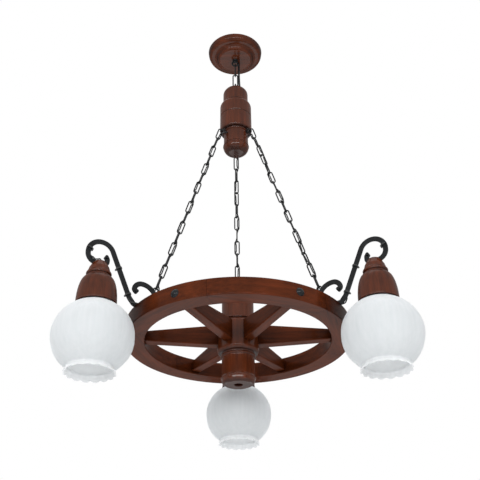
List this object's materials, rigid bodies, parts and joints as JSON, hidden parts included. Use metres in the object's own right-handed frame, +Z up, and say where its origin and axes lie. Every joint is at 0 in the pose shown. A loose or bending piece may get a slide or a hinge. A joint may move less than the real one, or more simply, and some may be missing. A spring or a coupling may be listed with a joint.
{
  "type": "wagon wheel chandelier",
  "caption": "Wagon wheel chandelier: a spoked wooden wheel hung on chains under a turned hub, with scrolled iron arms, turned cups and opal glass globes.",
  "frame": {"origin": "centre of the ceiling face of the rose, where the strip lies on the ceiling", "axes": "+Z up, out of the ceiling face; -Y towards the room's front, between the two front lamps; +X to the right"},
  "size_m": [0.6562, 0.588, 0.8939],
  "materials": {
    "stained_wood": "satin varnish over a reddish brown stain",
    "black_iron": "matt black",
    "zinc_steel": "zinc plated",
    "black_plastic": "matt",
    "opal_glass": "opal, gloss outside",
    "brass": "bare",
    "pale_ceramic": "glazed"
  },
  "bodies": {
    "ceiling": {"ceiling_strip": "zinc_steel", "rose": "stained_wood", "ceiling_hook": "black_iron", "rose_terminal": "pale_ceramic"},
    "top_link_1": {"top_link_1": "black_iron"},
    "top_link_2": {"top_link_2": "black_iron"},
    "fixture": {"supply_cable": "black_plastic", "hub_eye": "black_iron", "hub_eye_nut": "zinc_steel", "upper_hub": "stained_wood", "hub_cap": "stained_wood", "hub_terminal": "pale_ceramic", "screw_hooks": "black_iron", "chain_left": "black_iron", "chain_right": "black_iron", "chain_back": "black_iron", "flex_left": "black_plastic", "flex_right": "black_plastic", "flex_back": "black_plastic", "felloe_1": "stained_wood", "felloe_2": "stained_wood", "felloe_3": "stained_wood", "felloe_4": "stained_wood", "felloe_5": "stained_wood", "felloe_6": "stained_wood", "spoke_1": "stained_wood", "spoke_2": "stained_wood", "spoke_3": "stained_wood", "spoke_4": "stained_wood", "spoke_5": "stained_wood", "spoke_6": "stained_wood", "lower_hub": "stained_wood", "hub_bolt": "black_iron", "rim_bolts": "black_iron", "arm_left": "black_iron", "arm_right": "black_iron", "arm_back": "black_iron", "arm_screws": "black_iron", "cable_ties": "black_plastic", "cup_left": "stained_wood", "cup_right": "stained_wood", "cup_back": "stained_wood", "cup_bolts": "black_iron", "cup_nuts": "zinc_steel", "lampholder_left": "black_plastic", "lampholder_right": "black_plastic", "lampholder_back": "black_plastic", "socket_cores": "pale_ceramic", "socket_shells": "brass", "centre_contacts": "brass", "shade_ring_left": "black_plastic", "shade_ring_right": "black_plastic", "shade_ring_back": "black_plastic", "shade_left": "opal_glass", "shade_right": "opal_glass", "shade_back": "opal_glass"}
  },
  "joints": [
    {"name": "hook_swing", "type": "hinge", "parent": "ceiling", "child": "top_link_1", "pos_m": [0, 0, -0.0438], "axis": [1, 0, 0], "range_deg": [-12, 12], "deforming": ["supply_cable"]},
    {"name": "link_swing", "type": "hinge", "parent": "top_link_1", "child": "top_link_2", "pos_m": [0, 0, -0.077], "axis": [0, 1, 0], "range_deg": [-12, 12], "deforming": ["supply_cable"]},
    {"name": "eye_swing", "type": "hinge", "parent": "top_link_2", "child": "fixture", "pos_m": [0, 0, -0.1107], "axis": [1, 0, 0], "range_deg": [-12, 12], "deforming": ["supply_cable"]}
  ]
}
